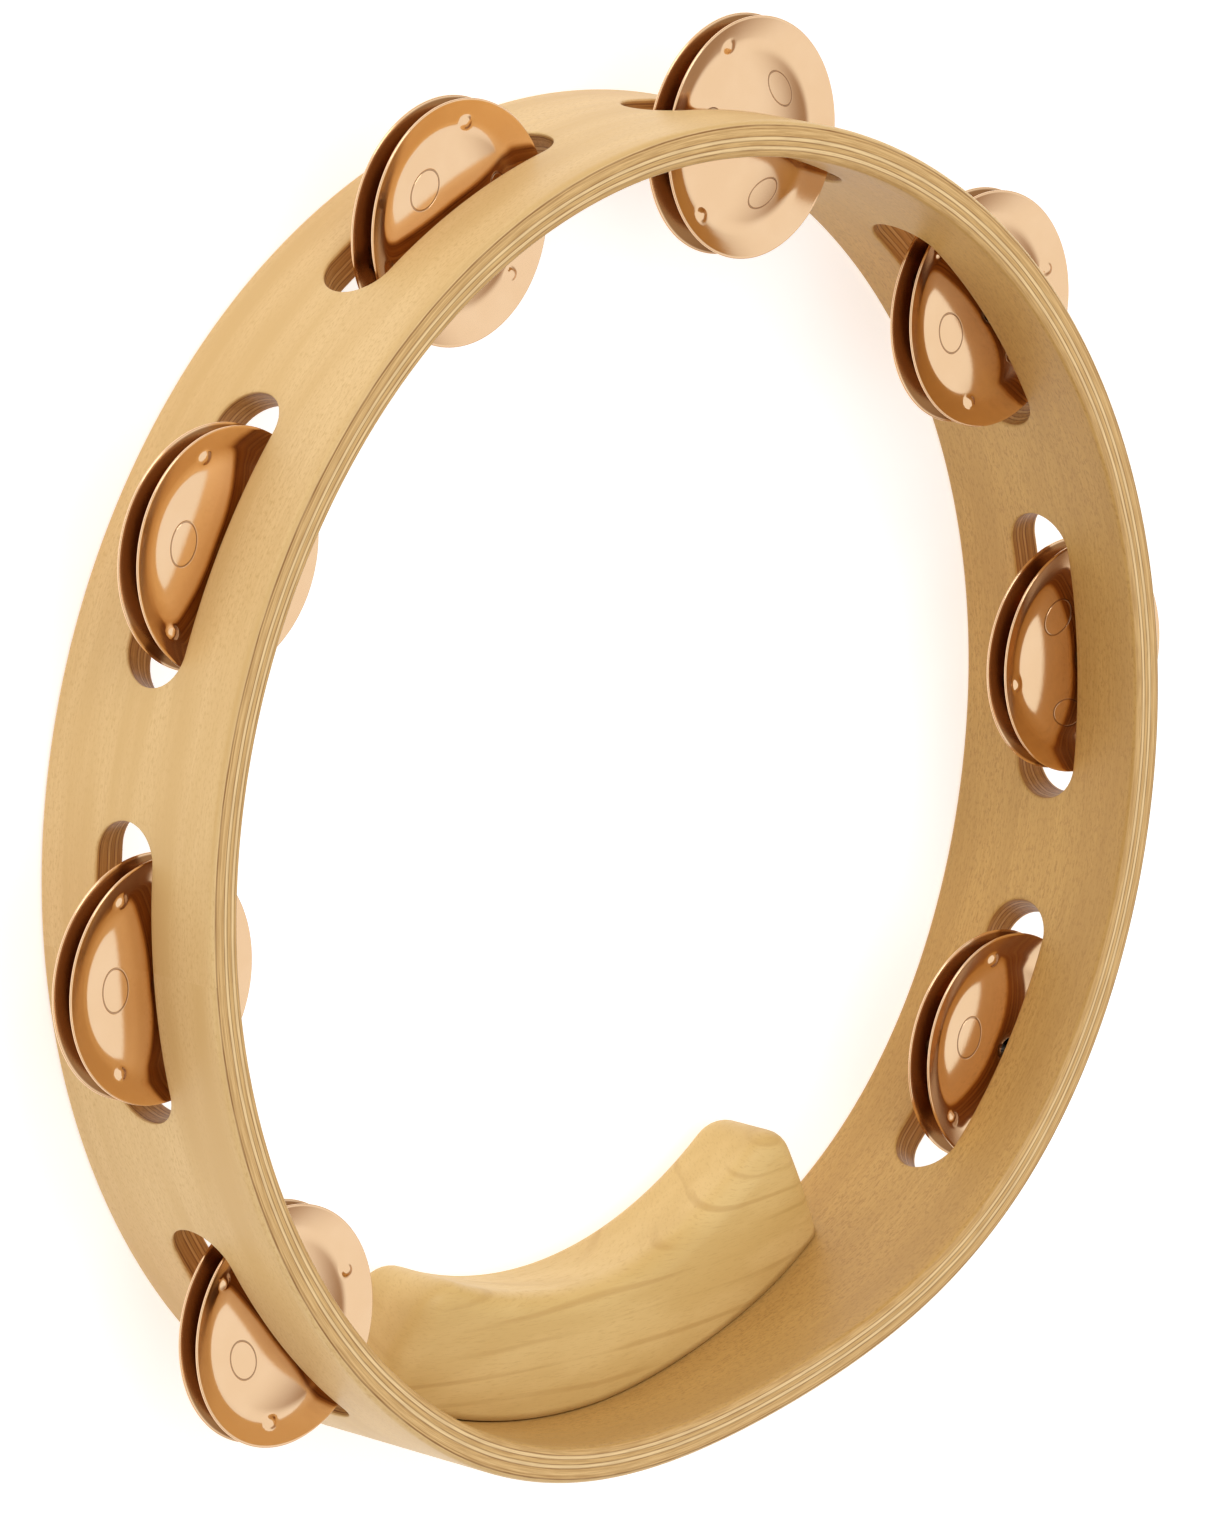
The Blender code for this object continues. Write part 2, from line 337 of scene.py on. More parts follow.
# ---------------------------------------------------------------- materials
def ply_material():
    """Bent birch ply: layers by depth from the outer face, grain along the strip."""
    n = Nodes("birch_ply_lacquered")
    _, x, y, z = n.object_xyz()
    from_axis = n.math("SUBTRACT", y, HOOP_AXIS_Y)
    radius = n.math("SQRT", n.math("ADD", n.math("MULTIPLY", x, x),
                                   n.math("MULTIPLY", from_axis, from_axis)))
    angle = n.math("ARCTAN2", from_axis, x)
    off = n.math("WRAP", n.math("SUBTRACT", angle, radians(FLAT_AT_DEG)), pi, -pi)
    near = n.math("POWER", n.math("DIVIDE", off, radians(FLAT_HALF_DEG)), 2.0)
    reach = n.math("POWER", n.math("DIVIDE", off, radians(FLAT_REACH_DEG)), 2.0)
    dip = n.math("MULTIPLY", n.math("SUBTRACT", 1.0, near),
                 n.math("EXPONENT", n.math("MULTIPLY", reach, -1.0)))
    oval = n.math("SINE", n.math("MULTIPLY_ADD", angle, 2.0, radians(2 * OVAL_TURN_DEG)))
    outer = n.math("SUBTRACT", n.math("SUBTRACT", HOOP_R, n.math("MULTIPLY", oval, OVAL)),
                   n.math("MULTIPLY", dip, FLAT_DEPTH))

    # Millimetres in from the outer face, along the strip, and up from the back rim.
    wall, depth_mm = WALL * PER_MM, DEPTH * PER_MM
    depth = n.math("MULTIPLY", n.math("SUBTRACT", outer, radius), PER_MM)
    along = n.math("MULTIPLY", angle, 125.0)
    across = n.math("MULTIPLY", z, PER_MM)

    # Layers wander slightly along the strip, and every layer has its own streaks.
    wander = n.noise(n.vector(n.math("MULTIPLY", along, 0.05), 0.0, across), 0.35, 2.0)
    depth_here = n.math("ADD", depth, n.math("MULTIPLY_ADD", wander, 0.36, -0.18))
    layers = n.ramp(n.math("DIVIDE", depth_here, wall), (
        (0.0, srgb(226, 192, 132)),
        (0.10, srgb(236, 203, 146)),
        (0.125, srgb(138, 94, 44)),
        (0.15, srgb(150, 106, 52)),
        (0.17, srgb(222, 184, 122)),
        (0.21, srgb(184, 140, 80)),
        (0.26, srgb(226, 188, 126)),
        (0.33, srgb(212, 172, 110)),
        (0.40, srgb(204, 163, 100)),
        (0.43, srgb(136, 92, 43)),
        (0.455, srgb(246, 217, 163)),
        (0.515, srgb(243, 213, 158)),
        (0.54, srgb(142, 98, 47)),
        (0.57, srgb(218, 180, 116)),
        (0.65, srgb(208, 167, 104)),
        (0.68, srgb(138, 94, 45)),
        (0.705, srgb(246, 216, 161)),
        (0.765, srgb(243, 212, 157)),
        (0.79, srgb(142, 98, 49)),
        (0.825, srgb(214, 175, 112)),
        (0.93, srgb(204, 163, 102)),
        (0.965, srgb(216, 177, 114)),
        (1.0, srgb(206, 163, 96)),
    ))
    streak = n.noise(n.vector(n.math("MULTIPLY", along, 0.14), n.math("MULTIPLY", depth, 4.5),
                              n.math("MULTIPLY", across, 1.6)), 1.0, 4.0, 0.62)
    edge_color = n.mix(n.smooth(streak, 0.38, 0.62), rgba(srgb(150, 106, 54)),
                       rgba(srgb(236, 200, 140)))
    end_grain = n.mix(0.30, layers, edge_color)

    # Face veneers: pale outside, browner inside, with fine long grain.
    fine = n.noise(n.vector(n.math("MULTIPLY", along, 0.03), depth, across), 2.2, 5.0, 0.6, 0.4)
    broad = n.noise(n.vector(n.math("MULTIPLY", along, 0.012), depth,
                             n.math("MULTIPLY", across, 0.12)), 1.0, 3.0, 0.5)
    outside = n.mix(n.smooth(fine, 0.3, 0.7), rgba(srgb(221, 187, 130)), rgba(srgb(228, 196, 139)))
    inside = n.mix(n.smooth(fine, 0.3, 0.7), rgba(srgb(194, 153, 86)), rgba(srgb(206, 166, 98)))
    speck = n.noise(n.vector(n.math("MULTIPLY", along, 0.35), depth, across), 2.6, 4.0, 0.65)
    outside = n.mix(n.smooth(speck, 0.47, 0.68, 0.0, 0.6), outside, rgba(srgb(197, 157, 97)))
    outside = n.mix(n.smooth(broad, 0.35, 0.7), outside, rgba(srgb(213, 177, 117)))
    inside = n.mix(n.smooth(speck, 0.47, 0.68, 0.0, 0.6), inside, rgba(srgb(162, 120, 63)))
    inside = n.mix(n.smooth(broad, 0.35, 0.7, 0.0, 0.5), inside, rgba(srgb(183, 143, 80)))
    color = n.mix(n.smooth(depth, 0.55, 0.75), outside, end_grain)
    color = n.mix(n.smooth(depth, wall - 0.45, wall - 0.2), color, inside)

    # The walls of the slots are painted darker than the planed rims: painted shade inside the
    # slots, laid over the ply's layers.
    in_wall = n.math("MULTIPLY", n.smooth(depth, 0.25, 0.5),
                     n.smooth(depth, wall - 0.45, wall - 0.2, 1.0, 0.0))
    off_rims = n.math("MULTIPLY", n.smooth(across, 6.0, 8.0),
                      n.smooth(across, depth_mm - 8.0, depth_mm - 6.0, 1.0, 0.0))
    slot_painted_shade = n.math("MULTIPLY", in_wall, off_rims)
    # Painted shade: the slot walls are multiplied towards dark brown.
    color = n.mix(n.math("MULTIPLY", slot_painted_shade, 0.9), color, (0.56, 0.39, 0.21, 1), "MULTIPLY")
    pores = n.noise(n.vector(n.math("MULTIPLY", along, 1.2), n.math("MULTIPLY", depth, 3.0),
                             n.math("MULTIPLY", across, 3.0)), 2.0, 3.0, 0.6)
    height = n.math("ADD", n.math("MULTIPLY", fine, 0.6), n.math("MULTIPLY", pores, 0.4))
    normal = n.bump(height, 0.00012, 0.35)
    roughness = n.smooth(fine, 0.2, 0.8, 0.36, 0.48)
    return n.finish(color, roughness, normal, Specular_IOR_Level=0.35)


def maple_material():
    """Pale maple block: straight growth lines nearly along the grip."""
    n = Nodes("pale_maple_satin")
    _, x, y, z = n.object_xyz()
    xm, ym, zm = (n.math("MULTIPLY", value, PER_MM) for value in (x, y, z))
    across = n.math("ADD", ym, n.math("ADD", n.math("MULTIPLY", xm, 0.11),
                                      n.math("MULTIPLY", zm, 0.35)))
    drift = n.noise(n.vector(n.math("MULTIPLY", xm, 0.010), n.math("MULTIPLY", ym, 0.04),
                             n.math("MULTIPLY", zm, 0.04)), 1.0, 2.0)
    wave = n.math("SINE", n.math("MULTIPLY_ADD", drift, 7.0, n.math("MULTIPLY", across, 1.25)))
    broken = n.noise(n.vector(n.math("MULTIPLY", xm, 0.022), n.math("MULTIPLY", across, 0.30),
                              n.math("MULTIPLY", zm, 0.05)), 1.0, 2.0)
    line = n.math("MULTIPLY", n.smooth(wave, 0.70, 1.0), n.smooth(broken, 0.40, 0.60))
    fibre = n.noise(n.vector(n.math("MULTIPLY", xm, 0.22), n.math("MULTIPLY", across, 2.6),
                             n.math("MULTIPLY", zm, 0.8)), 1.6, 4.0, 0.65)
    cloud = n.noise(n.vector(n.math("MULTIPLY", xm, 0.03), n.math("MULTIPLY", ym, 0.10),
                             n.math("MULTIPLY", zm, 0.10)), 1.0, 3.0)
    color = n.mix(n.smooth(cloud, 0.35, 0.68), rgba(srgb(215, 180, 113)), rgba(srgb(225, 192, 127)))
    color = n.mix(n.math("MULTIPLY", line, 0.42), color, rgba(srgb(186, 143, 78)))
    color = n.mix(n.smooth(fibre, 0.50, 0.72, 0.0, 0.4), color, rgba(srgb(192, 151, 88)))
    normal = n.bump(fibre, 0.0001, 0.3)
    return n.finish(color, n.smooth(fibre, 0.2, 0.8, 0.40, 0.5), normal, Specular_IOR_Level=0.35)


def bronze_material():
    """Polished bronze with the faint circles of the spinning tool, and painted shade on its hollow
    side, which faces the other jingle of the pair.
    """
    n = Nodes("bronze_polished")
    place, x, y, z = n.object_xyz()
    radius = n.math("SQRT", n.math("ADD", n.math("MULTIPLY", x, x), n.math("MULTIPLY", y, y)))
    circles = n.noise(n.vector(n.math("MULTIPLY", radius, PER_MM), 0.0,
                               n.math("MULTIPLY", z, 200.0)), 7.0, 3.0, 0.6)
    cloud = n.noise(place, 120.0, 3.0)
    hollow_painted_shade, own_x, own_y = (n.attribute(name) for name in ("hollow_painted_shade", "own_x", "own_y"))

    # A thin plain oval is stamped midway between each two dents.
    third = 2 * pi / DENTS
    turn = n.math("WRAP", n.math("ADD", n.math("ARCTAN2", own_y, own_x), pi),
                  third / 2, -third / 2)
    out = n.math("SUBTRACT", n.math("MULTIPLY", radius, n.math("COSINE", turn)), STAMP_R)
    side = n.math("MULTIPLY", radius, n.math("SINE", turn))
    oval = n.math("SQRT", n.math("ADD", n.math("POWER", n.math("DIVIDE", out, STAMP_HALF_OUT), 2.0),
                                 n.math("POWER", n.math("DIVIDE", side, STAMP_HALF_ROUND), 2.0)))
    off_line = n.math("MULTIPLY", n.math("ABSOLUTE", n.math("SUBTRACT", oval, 1.0)), STAMP_HALF_OUT)
    stamp = n.math("MULTIPLY", n.smooth(off_line, STAMP_LINE * 0.6, STAMP_LINE * 1.4, 1.0, 0.0),
                   n.math("SUBTRACT", 1.0, hollow_painted_shade))
    color = n.mix(n.smooth(cloud, 0.35, 0.7), (0.88, 0.595, 0.355, 1), (0.90, 0.62, 0.38, 1))
    # Painted shade: the hollow side, between the two jingles of a pair, is turned dark brown.
    color = n.mix(hollow_painted_shade, color, (0.32, 0.155, 0.06, 1))
    color = n.mix(n.math("MULTIPLY", stamp, 0.6), color, (0.20, 0.09, 0.035, 1))
    roughness = n.math("ADD", n.smooth(circles, 0.25, 0.75, 0.085, 0.135),
                       n.math("MULTIPLY", hollow_painted_shade, 0.12))
    normal = n.bump(n.math("SUBTRACT", 1.0, stamp), 0.0001, 0.6, n.bump(circles, 0.00002, 0.2))
    return n.finish(color, roughness, normal, Metallic=1.0)


def steel_material():
    """Drawn steel wire."""
    n = Nodes("pin_steel_drawn")
    _, x, y, z = n.object_xyz()
    lines = n.noise(n.vector(n.math("MULTIPLY", x, 9000.0), n.math("MULTIPLY", y, 9000.0),
                             n.math("MULTIPLY", z, 60.0)), 1.0, 2.0)
    color = n.mix(lines, (0.50, 0.47, 0.43, 1), (0.66, 0.63, 0.58, 1))
    return n.finish(color, n.smooth(lines, 0.3, 0.7, 0.25, 0.38), Metallic=1.0)


# ---------------------------------------------------------------- hoop
def slot_outline():
    """Outline of a slot with as many points as the edge of its patch, with outward directions."""
    end = SLOT_WIDTH / 2
    half = SLOT_LENGTH / 2 - end
    long_side = 2 * half + end * pi / 2

    def upper(share):
        """Point on the upper side, from the middle of the right corner to that of the left."""
        go = share * long_side
        if go < end * pi / 4:
            turn = pi / 4 + go / end
            return half + end * cos(turn), end * sin(turn), cos(turn), sin(turn)
        go -= end * pi / 4
        if go <= 2 * half:
            return half - go, end, 0.0, 1.0
        turn = pi / 2 + (go - 2 * half) / end
        return -half + end * cos(turn), end * sin(turn), cos(turn), sin(turn)

    points = []
    for step in range(WALL_ROWS):
        turn = pi / 2 * (step / WALL_ROWS - 0.5)
        points.append((half + end * cos(turn), end * sin(turn), cos(turn), sin(turn)))
    points += [upper(step / PATCH_COLUMNS) for step in range(PATCH_COLUMNS)]
    return points + [(-x, -z, -nx, -nz) for x, z, nx, nz in points]


def hoop_columns():
    """Angles of the mesh's columns, and the number of the first column of each slot's patch."""
    half = radians(PATCH_HALF_DEG)
    columns, firsts = [], []
    for i, middle in enumerate(SLOT_ANGLES):
        firsts.append(len(columns))
        columns += [middle - half + 2 * half * k / PATCH_COLUMNS
                    for k in range(PATCH_COLUMNS + 1)]
        following = SLOT_ANGLES[i + 1] if i + 1 < SLOTS else SLOT_ANGLES[0] + 2 * pi
        gap = following - half - columns[-1]
        steps = max(1, round(degrees(gap) / GAP_STEP_DEG))
        start = columns[-1]
        columns += [start + gap * k / steps for k in range(1, steps)]
    return columns, firsts


def hoop_section():
    """Wall's section as (depth, z), and the number of the first point of its inner face.

    It goes up the outer face, over the front rim, down the inner face and under the back rim.
    """
    rise = (DEPTH - 2 * RIM_ROUND) / WALL_ROWS
    points = [(0.0, RIM_ROUND + rise * k) for k in range(WALL_ROWS + 1)]

    def corner(depth, z, start):
        for step in range(1, RIM_STEPS):
            turn = radians(start - 90 * step / RIM_STEPS)
            points.append((depth + RIM_ROUND * cos(turn), z + RIM_ROUND * sin(turn)))

    flat = [RIM_ROUND + (WALL - 2 * RIM_ROUND) * k / FLAT_STEPS for k in range(FLAT_STEPS + 1)]
    corner(RIM_ROUND, DEPTH - RIM_ROUND, 180)
    points += [(depth, DEPTH) for depth in flat]
    corner(WALL - RIM_ROUND, DEPTH - RIM_ROUND, 90)
    inner = len(points)
    points += [(WALL, DEPTH - RIM_ROUND - rise * k) for k in range(WALL_ROWS + 1)]
    corner(WALL - RIM_ROUND, RIM_ROUND, 0)
    points += [(depth, 0.0) for depth in reversed(flat)]
    corner(RIM_ROUND, RIM_ROUND, -90)
    return points, inner


def hoop_point(angle, depth, z):
    """Point of the wall at that depth from its outer face."""
    reach = hoop_radius(angle) - depth
    return reach * cos(angle), reach * sin(angle) + HOOP_AXIS_Y, z


def slot_point(middle, x, z, depth):
    """Point of a slot's straight-sided prism at x along the strip and that depth in the wall."""
    angle = middle + asin(x / (HOOP_R - depth))
    for _ in range(3):
        angle = middle + asin(x / (hoop_radius(angle) - depth))
    return hoop_point(angle, depth, SLOT_Z + z)


def make_hoop(material):
    """The hoop: a grid round its section, patches with slots in it, and bores for the pins."""
    columns, firsts = hoop_columns()
    section, inner_start = hoop_section()
    bm = bmesh.new()
    grid = [[bm.verts.new(hoop_point(angle, depth, z)) for depth, z in section]
            for angle in columns]
    total, around = len(columns), len(section)
    in_patch = set()
    for first in firsts:
        in_patch.update(range(first, first + PATCH_COLUMNS))
    for c in range(total):
        following = grid[(c + 1) % total]
        for s in range(around):
            on_face = s < WALL_ROWS or inner_start <= s < inner_start + WALL_ROWS
            if c in in_patch and on_face:
                continue
            t = (s + 1) % around
            bm.faces.new((grid[c][s], following[s], following[t], grid[c][t]))
    outline = slot_outline()
    for first, middle in zip(firsts, SLOT_ANGLES):
        last = first + PATCH_COLUMNS
        edges = []
        for face in (0, 1):
            rows = list(range(WALL_ROWS + 1)) if face == 0 else \
                [inner_start + WALL_ROWS - k for k in range(WALL_ROWS + 1)]
            edge = [grid[last][rows[k]] for k in range(WALL_ROWS)]
            edge += [grid[last - k][rows[-1]] for k in range(PATCH_COLUMNS)]
            edge += [grid[first][rows[WALL_ROWS - k]] for k in range(WALL_ROWS)]
            edge += [grid[first + k][rows[0]] for k in range(PATCH_COLUMNS)]
            edges.append(edge)
        rings = [edges[0]]
        for share in PATCH_SHARES:
            rings.append(patch_ring(bm, edges[0], outline, middle, 0.0, share))
        bend = SLOT_EASE * (1 - cos(pi / 4))
        for offset, depth in ((SLOT_EASE, 0.0), (bend, bend), (0.0, SLOT_EASE)):
            rings.append(slot_ring(bm, outline, middle, offset, depth))
        for step in range(1, WALL_STEPS):
            rings.append(slot_ring(bm, outline, middle, 0.0, WALL * step / WALL_STEPS))
        for offset, depth in ((0.0, SLOT_EASE), (bend, bend), (SLOT_EASE, 0.0)):
            rings.append(slot_ring(bm, outline, middle, offset, WALL - depth))
        for share in reversed(PATCH_SHARES):
            rings.append(patch_ring(bm, edges[1], outline, middle, WALL, share))
        rings.append(edges[1])
        for one, two in zip(rings, rings[1:]):
            for k in range(len(one)):
                m = (k + 1) % len(one)
                bm.faces.new((one[k], one[m], two[m], two[k]))
    hoop = make_object("hoop_ply", bm, material)
    drill_pin_holes(hoop)
    return hoop


def drill_pin_holes(hoop):
    """Bores in the back rim that the pins' ends sit in."""
    bm = bmesh.new()
    radius = PIN_R + PIN_FIT
    for angle in SLOT_ANGLES:
        centre = pin_axis(angle)
        rings = [[bm.verts.new(centre + Vector((radius * cos(2 * pi * k / PIN_SIDES),
                                                radius * sin(2 * pi * k / PIN_SIDES), z)))
                  for k in range(PIN_SIDES)] for z in (-PIN_BORE, PIN_BORE)]
        bridge(bm, rings)
        for ring in rings:
            bm.faces.new(ring)
    drill = make_object("drill", bm, hoop.data.materials[0])
    cut = hoop.modifiers.new("bores", "BOOLEAN")
    cut.operation = "DIFFERENCE"
    cut.solver = "EXACT"
    cut.object = drill
    evaluated = hoop.evaluated_get(bpy.context.evaluated_depsgraph_get())
    bored = bpy.data.meshes.new_from_object(evaluated)
    hoop.modifiers.clear()
    hoop.data = bored
    bored.set_sharp_from_angle(angle=radians(SHARP_DEG))
    bpy.data.objects.remove(drill)


def slot_ring(bm, outline, middle, offset, depth):
    """Ring round the slot, offset outwards from its outline, at that depth in the wall."""
    return [bm.verts.new(slot_point(middle, x + nx * offset, z + nz * offset, depth))
            for x, z, nx, nz in outline]


def patch_ring(bm, edge, outline, middle, depth, share):
    """Ring between the edge of a patch and the slot, share of the way in."""
    ring = []
    for corner, (x, z, nx, nz) in zip(edge, outline):
        sx, sz = x + nx * SLOT_EASE, z + nz * SLOT_EASE
        inner_angle = middle + asin(sx / (hoop_radius(middle) - depth))
        outer_angle = atan2(corner.co.y - HOOP_AXIS_Y, corner.co.x)
        turn = (outer_angle - inner_angle + pi) % (2 * pi) - pi
        angle = inner_angle + turn * (1 - share)
        height = SLOT_Z + sz + (corner.co.z - SLOT_Z - sz) * (1 - share)
        ring.append(bm.verts.new(hoop_point(angle, depth, height)))
    return ring


# ---------------------------------------------------------------- pins
def make_pin(number, angle, material):
    """Steel wire with slightly rounded ends, its back end a little way inside its hole."""
    top = SLOT_Z + SLOT_WIDTH / 2 + PIN_IN_FRONT_WALL
    inner = PIN_EASE * 0.3
    levels = (
        (0.0, PIN_RECESS),
        (PIN_R - PIN_EASE, PIN_RECESS),
        (PIN_R - inner, PIN_RECESS + inner),
        (PIN_R, PIN_RECESS + PIN_EASE),
        (PIN_R, SLOT_Z),
        (PIN_R, top - PIN_EASE),
        (PIN_R - PIN_EASE, top),
        (0.0, top),
    )
    centre = pin_axis(angle)
    bm = bmesh.new()
    rings = []
    for radius, z in levels:
        if radius == 0.0:
            rings.append([bm.verts.new(centre + Vector((0, 0, z)))])
            continue
        rings.append([bm.verts.new(centre + Vector((radius * cos(2 * pi * k / PIN_SIDES),
                                                    radius * sin(2 * pi * k / PIN_SIDES), z)))
                      for k in range(PIN_SIDES)])
    bridge(bm, rings)
    return make_object(f"pin_wire_{number}", bm, material)


def bridge(bm, rings):
    """Faces between neighbouring closed rings, a ring of one point being a pole."""
    for one, two in zip(rings, rings[1:]):
        count = max(len(one), len(two))
        for k in range(count):
            m = (k + 1) % count
            corners = [one[k % len(one)], one[m % len(one)], two[m % len(two)], two[k % len(two)]]
            unique = []
            for corner in corners:
                if corner not in unique:
                    unique.append(corner)
            if len(unique) > 2:
                bm.faces.new(unique)


# ---------------------------------------------------------------- jingles
def jingle_height(radius):
    """Height of the middle of the sheet above the valley between the dome and the flange."""
    if radius > JINGLE_VALLEY_R:
        share = (radius - JINGLE_VALLEY_R) / (JINGLE_R - JINGLE_VALLEY_R)
        return JINGLE_FLANGE * share ** FLANGE_CURL
    slope_part = max(radius - JINGLE_TOP_R, 0.0) / (JINGLE_VALLEY_R - JINGLE_TOP_R)
    return JINGLE_DOME * (1 - slope_part ** 2)


def jingle_radii(hole):
    """Radii of the sheet's rings from the hole out, closest together round the dents and valley."""
    radii = [hole + HOLE_EDGE, JINGLE_TOP_R + 0.6 * MM]
    step = 5.0 * MM
    while step < 15.2 * MM:
        radii.append(step)
        step += 0.9 * MM
    step = 15.4 * MM
    while step < 19.6 * MM:
        radii.append(step)
        step += 0.2 * MM
    radii += [20.2 * MM, 20.9 * MM, 21.5 * MM, 21.9 * MM, JINGLE_R - JINGLE_EDGE]
    return radii


def eased_height(radius):
    """Jingle height with the valley rounded off."""
    start, stop = JINGLE_VALLEY_R - VALLEY_EASE, JINGLE_VALLEY_R + VALLEY_EASE
    if not start < radius < stop:
        return jingle_height(radius)
    tiny = 0.01 * MM
    fall = (jingle_height(start) - jingle_height(start - tiny)) / tiny
    rise = (jingle_height(stop + tiny) - jingle_height(stop)) / tiny
    go, width = radius - start, stop - start
    miss = jingle_height(stop) - jingle_height(start) - width * (fall + rise) / 2
    share = go / width
    return (jingle_height(start) + fall * go + (rise - fall) * go * go / (2 * width)
            + miss * share * share * (3 - 2 * share))


def sheet_middle(radius, turn, spin):
    """Height of the sheet's middle with its dents, which are pressed in from the outside."""
    height = eased_height(radius)
    for k in range(DENTS):
        middle = spin + 2 * pi * k / DENTS
        x = radius * cos(turn - middle) - DENT_R
        y = radius * sin(turn - middle)
        away = sqrt(x * x + y * y) / DENT_SIZE
        if away < 1.6:
            height += DENT_RISE * exp(-(away ** 4) * 1.2)
    return height


def jingle_shape(spin, hole_radius):
    """Mesh of one jingle about its own axis, dome and flange towards +Z, turned by spin.

    Its points carry the shading's facts: whether they are on the hollow side, which is given
    painted shade, and where they are on the jingle before its turn.
    """
    radii = jingle_radii(hole_radius)
    half = JINGLE_SHEET / 2
    bm = bmesh.new()
    for name in ("hollow_painted_shade", "own_x", "own_y"):
        bm.verts.layers.float.new(name)
    hollow_painted_shade, own_x, own_y = (bm.verts.layers.float[name] for name in ("hollow_painted_shade", "own_x", "own_y"))
    turns = [2 * pi * k / JINGLE_SIDES for k in range(JINGLE_SIDES)]

    def ring(radius, lift, base_radius=None):
        base = radius if base_radius is None else base_radius
        return [bm.verts.new((radius * cos(t), radius * sin(t), sheet_middle(base, t, spin) + lift))
                for t in turns]

    under = [ring(r, -half) for r in radii]
    over = [ring(r, half) for r in reversed(radii)]
    rim, hole = [], []
    for step in range(1, 6):
        turn = -pi / 2 + pi * step / 6
        rim.append(ring(radii[-1] + JINGLE_EDGE * cos(turn), half * sin(turn), radii[-1]))
    for step in range(1, 4):
        turn = pi / 2 - pi * step / 4
        hole.append(ring(radii[0] - HOLE_EDGE * cos(turn), half * sin(turn), radii[0]))
    rings = under + rim + over + hole
    bridge(bm, rings + rings[:1])
    # The hollow side is marked for its painted shade.
    for under_ring in under[:-1]:
        for vert in under_ring:
            vert[hollow_painted_shade] = 1.0
    for vert in bm.verts:
        vert[own_x] = vert.co.x * cos(spin) + vert.co.y * sin(spin)
        vert[own_y] = vert.co.y * cos(spin) - vert.co.x * sin(spin)
    return bm


def make_pair(number, angle, material):
    """The two jingles of one slot, their domes facing away from each other."""
    height, spread, hang, front_tilt, back_tilt = PAIRS[number - 1]
    place = pin_axis(angle) + Vector((0, -hang * MM, DEPTH / 2 + height * MM))
    flat = spread * MM / 2 - JINGLE_FLANGE
    hole = min(PIN_R + abs(hang) * MM + HOLE_SPARE, JINGLE_HOLE_R)
    for side, lift, tilt, spin in (
        ("front", flat, radians(front_tilt), FRONT_SPIN_DEG[number - 1]),
        ("back", -flat, radians(back_tilt) + pi, BACK_SPIN_DEG[number - 1]),
    ):
        jingle = make_object(f"zil_{side}_{number}", jingle_shape(radians(spin), hole), material)
        jingle.matrix_world = (Matrix.Translation(place + Vector((0, 0, lift)))
                               @ Matrix.Rotation(tilt, 4, "X"))
        bpy.context.view_layer.update()
        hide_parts(f"jingle_{side}_{number}")
        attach(jingle, f"jingle_{side}_{number}")


# ---------------------------------------------------------------- grip
def grip_tip(side, offset):
    """Centre of the circle that touches the palm and the end face of one side, offset from both."""
    end = radians(GRIP_HALF_DEG)
    along_end = Vector((side * sin(end), -cos(end)))
    inwards = Vector((-side * cos(end), -sin(end)))
    to_centre = Vector((GRIP_PALM_X, GRIP_PALM_Y)) - offset * inwards
    along = along_end.dot(to_centre)
    reach = (GRIP_PALM_R + offset) ** 2 - to_centre.length_squared
    return along_end * (along + sqrt(along ** 2 + reach)) + offset * inwards


def grip_palm(inset):
    """Palm side from tip to tip, drawn in by inset, with both tips rounded."""
    rounding = max(GRIP_TIP_ROUND - inset, GRIP_TIP_LEAST)
    centre = Vector((GRIP_PALM_X, GRIP_PALM_Y))
    left, right = grip_tip(-1, inset + rounding), grip_tip(1, inset + rounding)
    from_turn = atan2(left.x - centre.x, centre.y - left.y)
    to_turn = atan2(right.x - centre.x, centre.y - right.y)
    arc = []
    for step in range(GRIP_STEPS + 1):
        turn = from_turn + (to_turn - from_turn) * step / GRIP_STEPS
        arc.append(centre + (GRIP_PALM_R + inset) * Vector((sin(turn), -cos(turn))))
    end = radians(GRIP_HALF_DEG)
    corners = []
    for tip, start, stop in ((left, from_turn + pi / 2, pi - end), (right, to_turn + pi / 2, end)):
        corners.append([tip + rounding * Vector((cos(turn), sin(turn))) for turn in
                        (start + (stop - start) * step / GRIP_TIP_STEPS
                         for step in range(1, GRIP_TIP_STEPS + 1))])
    return list(reversed(corners[0])) + arc + corners[1]


def grip_slice(inset):
    """Foot and palm of the grip at one height, as two lists of as many points."""
    turn = Matrix.Rotation(radians(GRIP_TURN_DEG), 2)
    palm = [turn @ p for p in grip_palm(inset)]
    middle = radians(-90 + GRIP_TURN_DEG)
    half = radians(GRIP_HALF_DEG) - inset / (HOOP_R - WALL)
    foot = []
    for step in range(len(palm)):
        angle = middle + half * (2 * step / (len(palm) - 1) - 1)
        reach = hoop_radius(angle) - WALL - GRIP_GLUE
        foot.append(Vector((reach * cos(angle), reach * sin(angle))))
    return foot, palm


def grip_front_z(point):
    """Height of the grip's front face, which falls away towards its ends, least at the palm."""
    drop = GRIP_DROP * (abs(point.x - GRIP_PEAK_X) / GRIP_DROP_AT) ** GRIP_DROP_POWER
    inwards = HOOP_R - WALL - point.length
    return GRIP_FRONT_Z - drop + GRIP_PALM_LIFT * inwards * (point.x / GRIP_DROP_AT) ** 2


